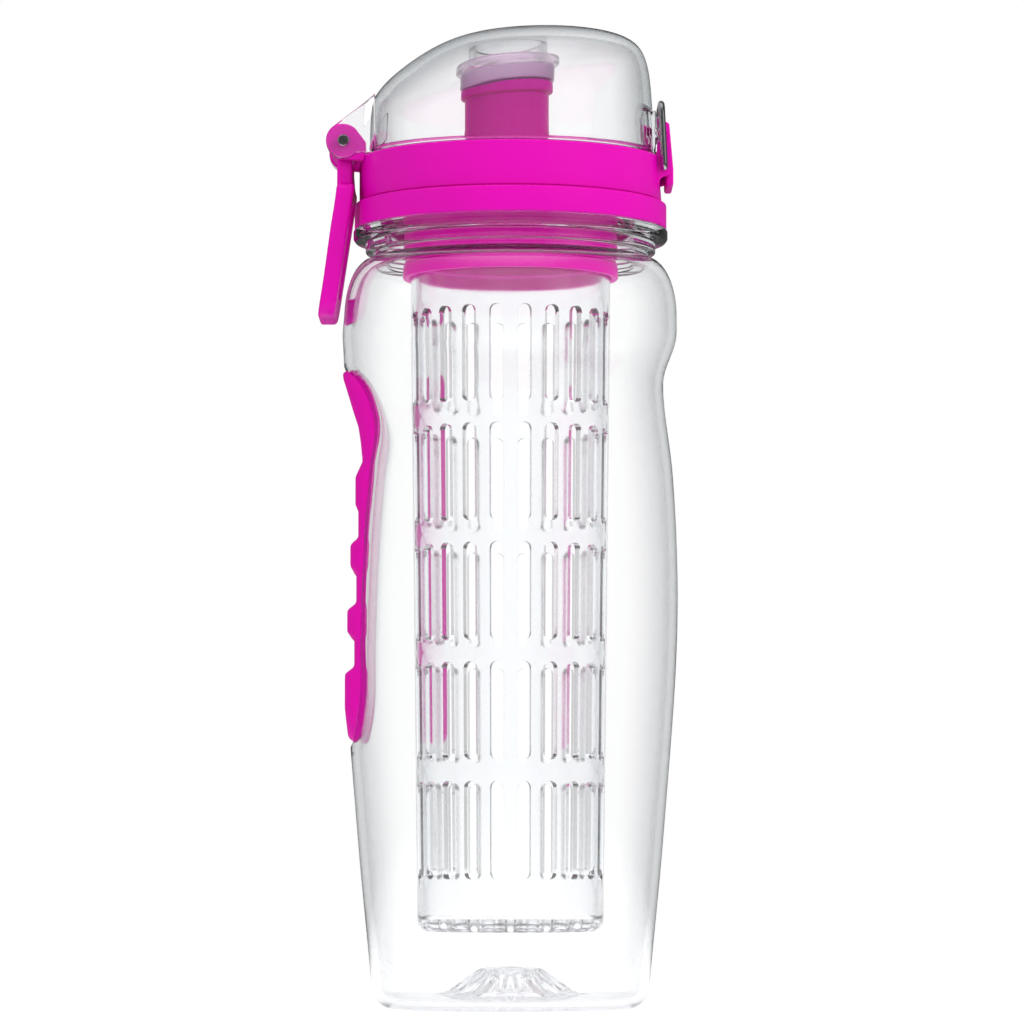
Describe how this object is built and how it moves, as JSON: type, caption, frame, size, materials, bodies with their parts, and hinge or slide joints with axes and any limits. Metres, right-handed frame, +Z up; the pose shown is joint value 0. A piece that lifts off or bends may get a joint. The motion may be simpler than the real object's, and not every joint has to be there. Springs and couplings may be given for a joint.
{
  "type": "fruit infuser water bottle",
  "caption": "Clear water bottle with a ribbed side grip, a screw lid with flip cover, spout and carry loop, and a slotted infuser basket hung from the lid.",
  "frame": {"origin": "on the bottle's axis, in the plane that its base rests on", "axes": "+Z up along the bottle's axis, +X towards the latch, -X towards the hinge, carry loop and grip"},
  "size_m": [0.0969, 0.09, 0.2645],
  "materials": {
    "clear_copolyester": "clear moulded gloss",
    "grip_elastomer": "soft satin",
    "magenta_polypropylene": "moulded semi-gloss",
    "seal_silicone": "translucent matte",
    "stainless_steel": "drawn bright"
  },
  "bodies": {
    "bottle": {"bottle_body": "clear_copolyester", "bottle_neck": "clear_copolyester", "side_grip": "grip_elastomer"},
    "seal": {"lid_gasket": "seal_silicone"},
    "lid": {"lid_base": "magenta_polypropylene", "vent_valve": "seal_silicone", "hinge_pin": "stainless_steel", "latch_pin": "stainless_steel", "latch_spring": "stainless_steel"},
    "cover": {"flip_cover": "clear_copolyester", "spout_plug": "seal_silicone"},
    "handle": {"carry_handle": "magenta_polypropylene"},
    "button": {"latch_button": "magenta_polypropylene"},
    "bail": {"wire_bail": "stainless_steel"},
    "infuser": {"infuser_collar": "magenta_polypropylene", "infuser_basket": "clear_copolyester"}
  },
  "joints": [
    {"name": "lid_lift", "type": "slide", "parent": "bottle", "child": "seal", "axis": [0, 0, 1], "range_m": [0, 0.215]},
    {"name": "lid_turn", "type": "hinge", "parent": "seal", "child": "lid", "pos_m": [0, 0, 0.2255], "axis": [0, 0, 1], "range_deg": [0, 450]},
    {"name": "cover_flip", "type": "hinge", "parent": "lid", "child": "cover", "pos_m": [-0.0448, 0, 0.2324], "axis": [0, -1, 0], "range_deg": [0, 175]},
    {"name": "handle_swing", "type": "hinge", "parent": "lid", "child": "handle", "pos_m": [-0.0448, 0, 0.2324], "axis": [0, 1, 0], "range_deg": [0, 180]},
    {"name": "button_press", "type": "hinge", "parent": "lid", "child": "button", "pos_m": [0.0413, 0, 0.2313], "axis": [0, 1, 0], "range_deg": [0, 5], "stiffness_Nm_per_rad": 0.03},
    {"name": "bail_swing", "type": "hinge", "parent": "lid", "child": "bail", "pos_m": [0.0414, 0, 0.2256], "axis": [0, 1, 0], "range_deg": [0, 165]},
    {"name": "infuser_turn", "type": "hinge", "parent": "lid", "child": "infuser", "pos_m": [0, 0, 0.2018], "axis": [0, 0, -1], "range_deg": [0, 540]}
  ]
}
